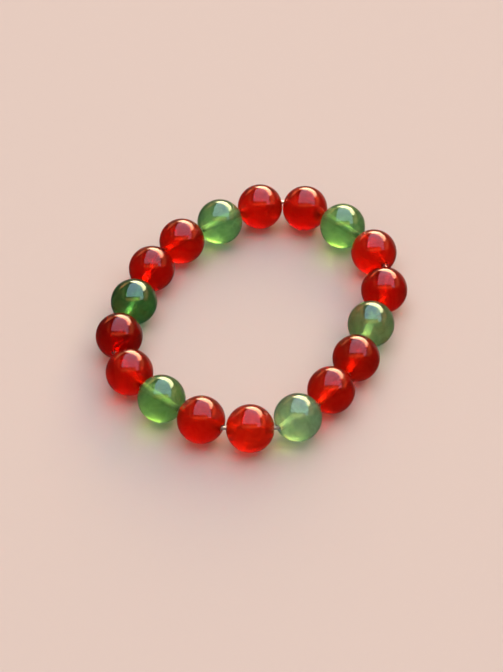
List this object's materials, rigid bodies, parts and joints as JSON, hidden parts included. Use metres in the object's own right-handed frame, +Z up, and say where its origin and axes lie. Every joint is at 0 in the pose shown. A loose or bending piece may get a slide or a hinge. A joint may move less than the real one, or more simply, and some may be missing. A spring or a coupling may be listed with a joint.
{
  "type": "beaded stretch bracelet",
  "caption": "Round polished stone beads, two red then one green, strung in a closed loop on elastic cord, lying flat in a loose oval.",
  "frame": {"origin": "on the surface that the bracelet lies on, under the middle of the loop's bounding box", "axes": "+Z up, through the wrist hollow; +Y along the oval's longer side, towards the back of the pictured view; +X to the right"},
  "size_m": [0.067, 0.0742, 0.01],
  "materials": {
    "red_stone": "polished",
    "green_stone": "polished",
    "elastic": "gloss"
  },
  "bodies": {
    "root": {"red_bead_01": "red_stone", "red_bead_02": "red_stone", "green_bead_03": "green_stone", "red_bead_04": "red_stone", "red_bead_05": "red_stone", "green_bead_06": "green_stone", "red_bead_07": "red_stone", "red_bead_08": "red_stone", "green_bead_09": "green_stone", "red_bead_10": "red_stone", "red_bead_11": "red_stone", "green_bead_12": "green_stone", "red_bead_13": "red_stone", "red_bead_14": "red_stone", "green_bead_15": "green_stone", "red_bead_16": "red_stone", "red_bead_17": "red_stone", "green_bead_18": "green_stone", "elastic_cord": "elastic"}
  },
  "joints": []
}
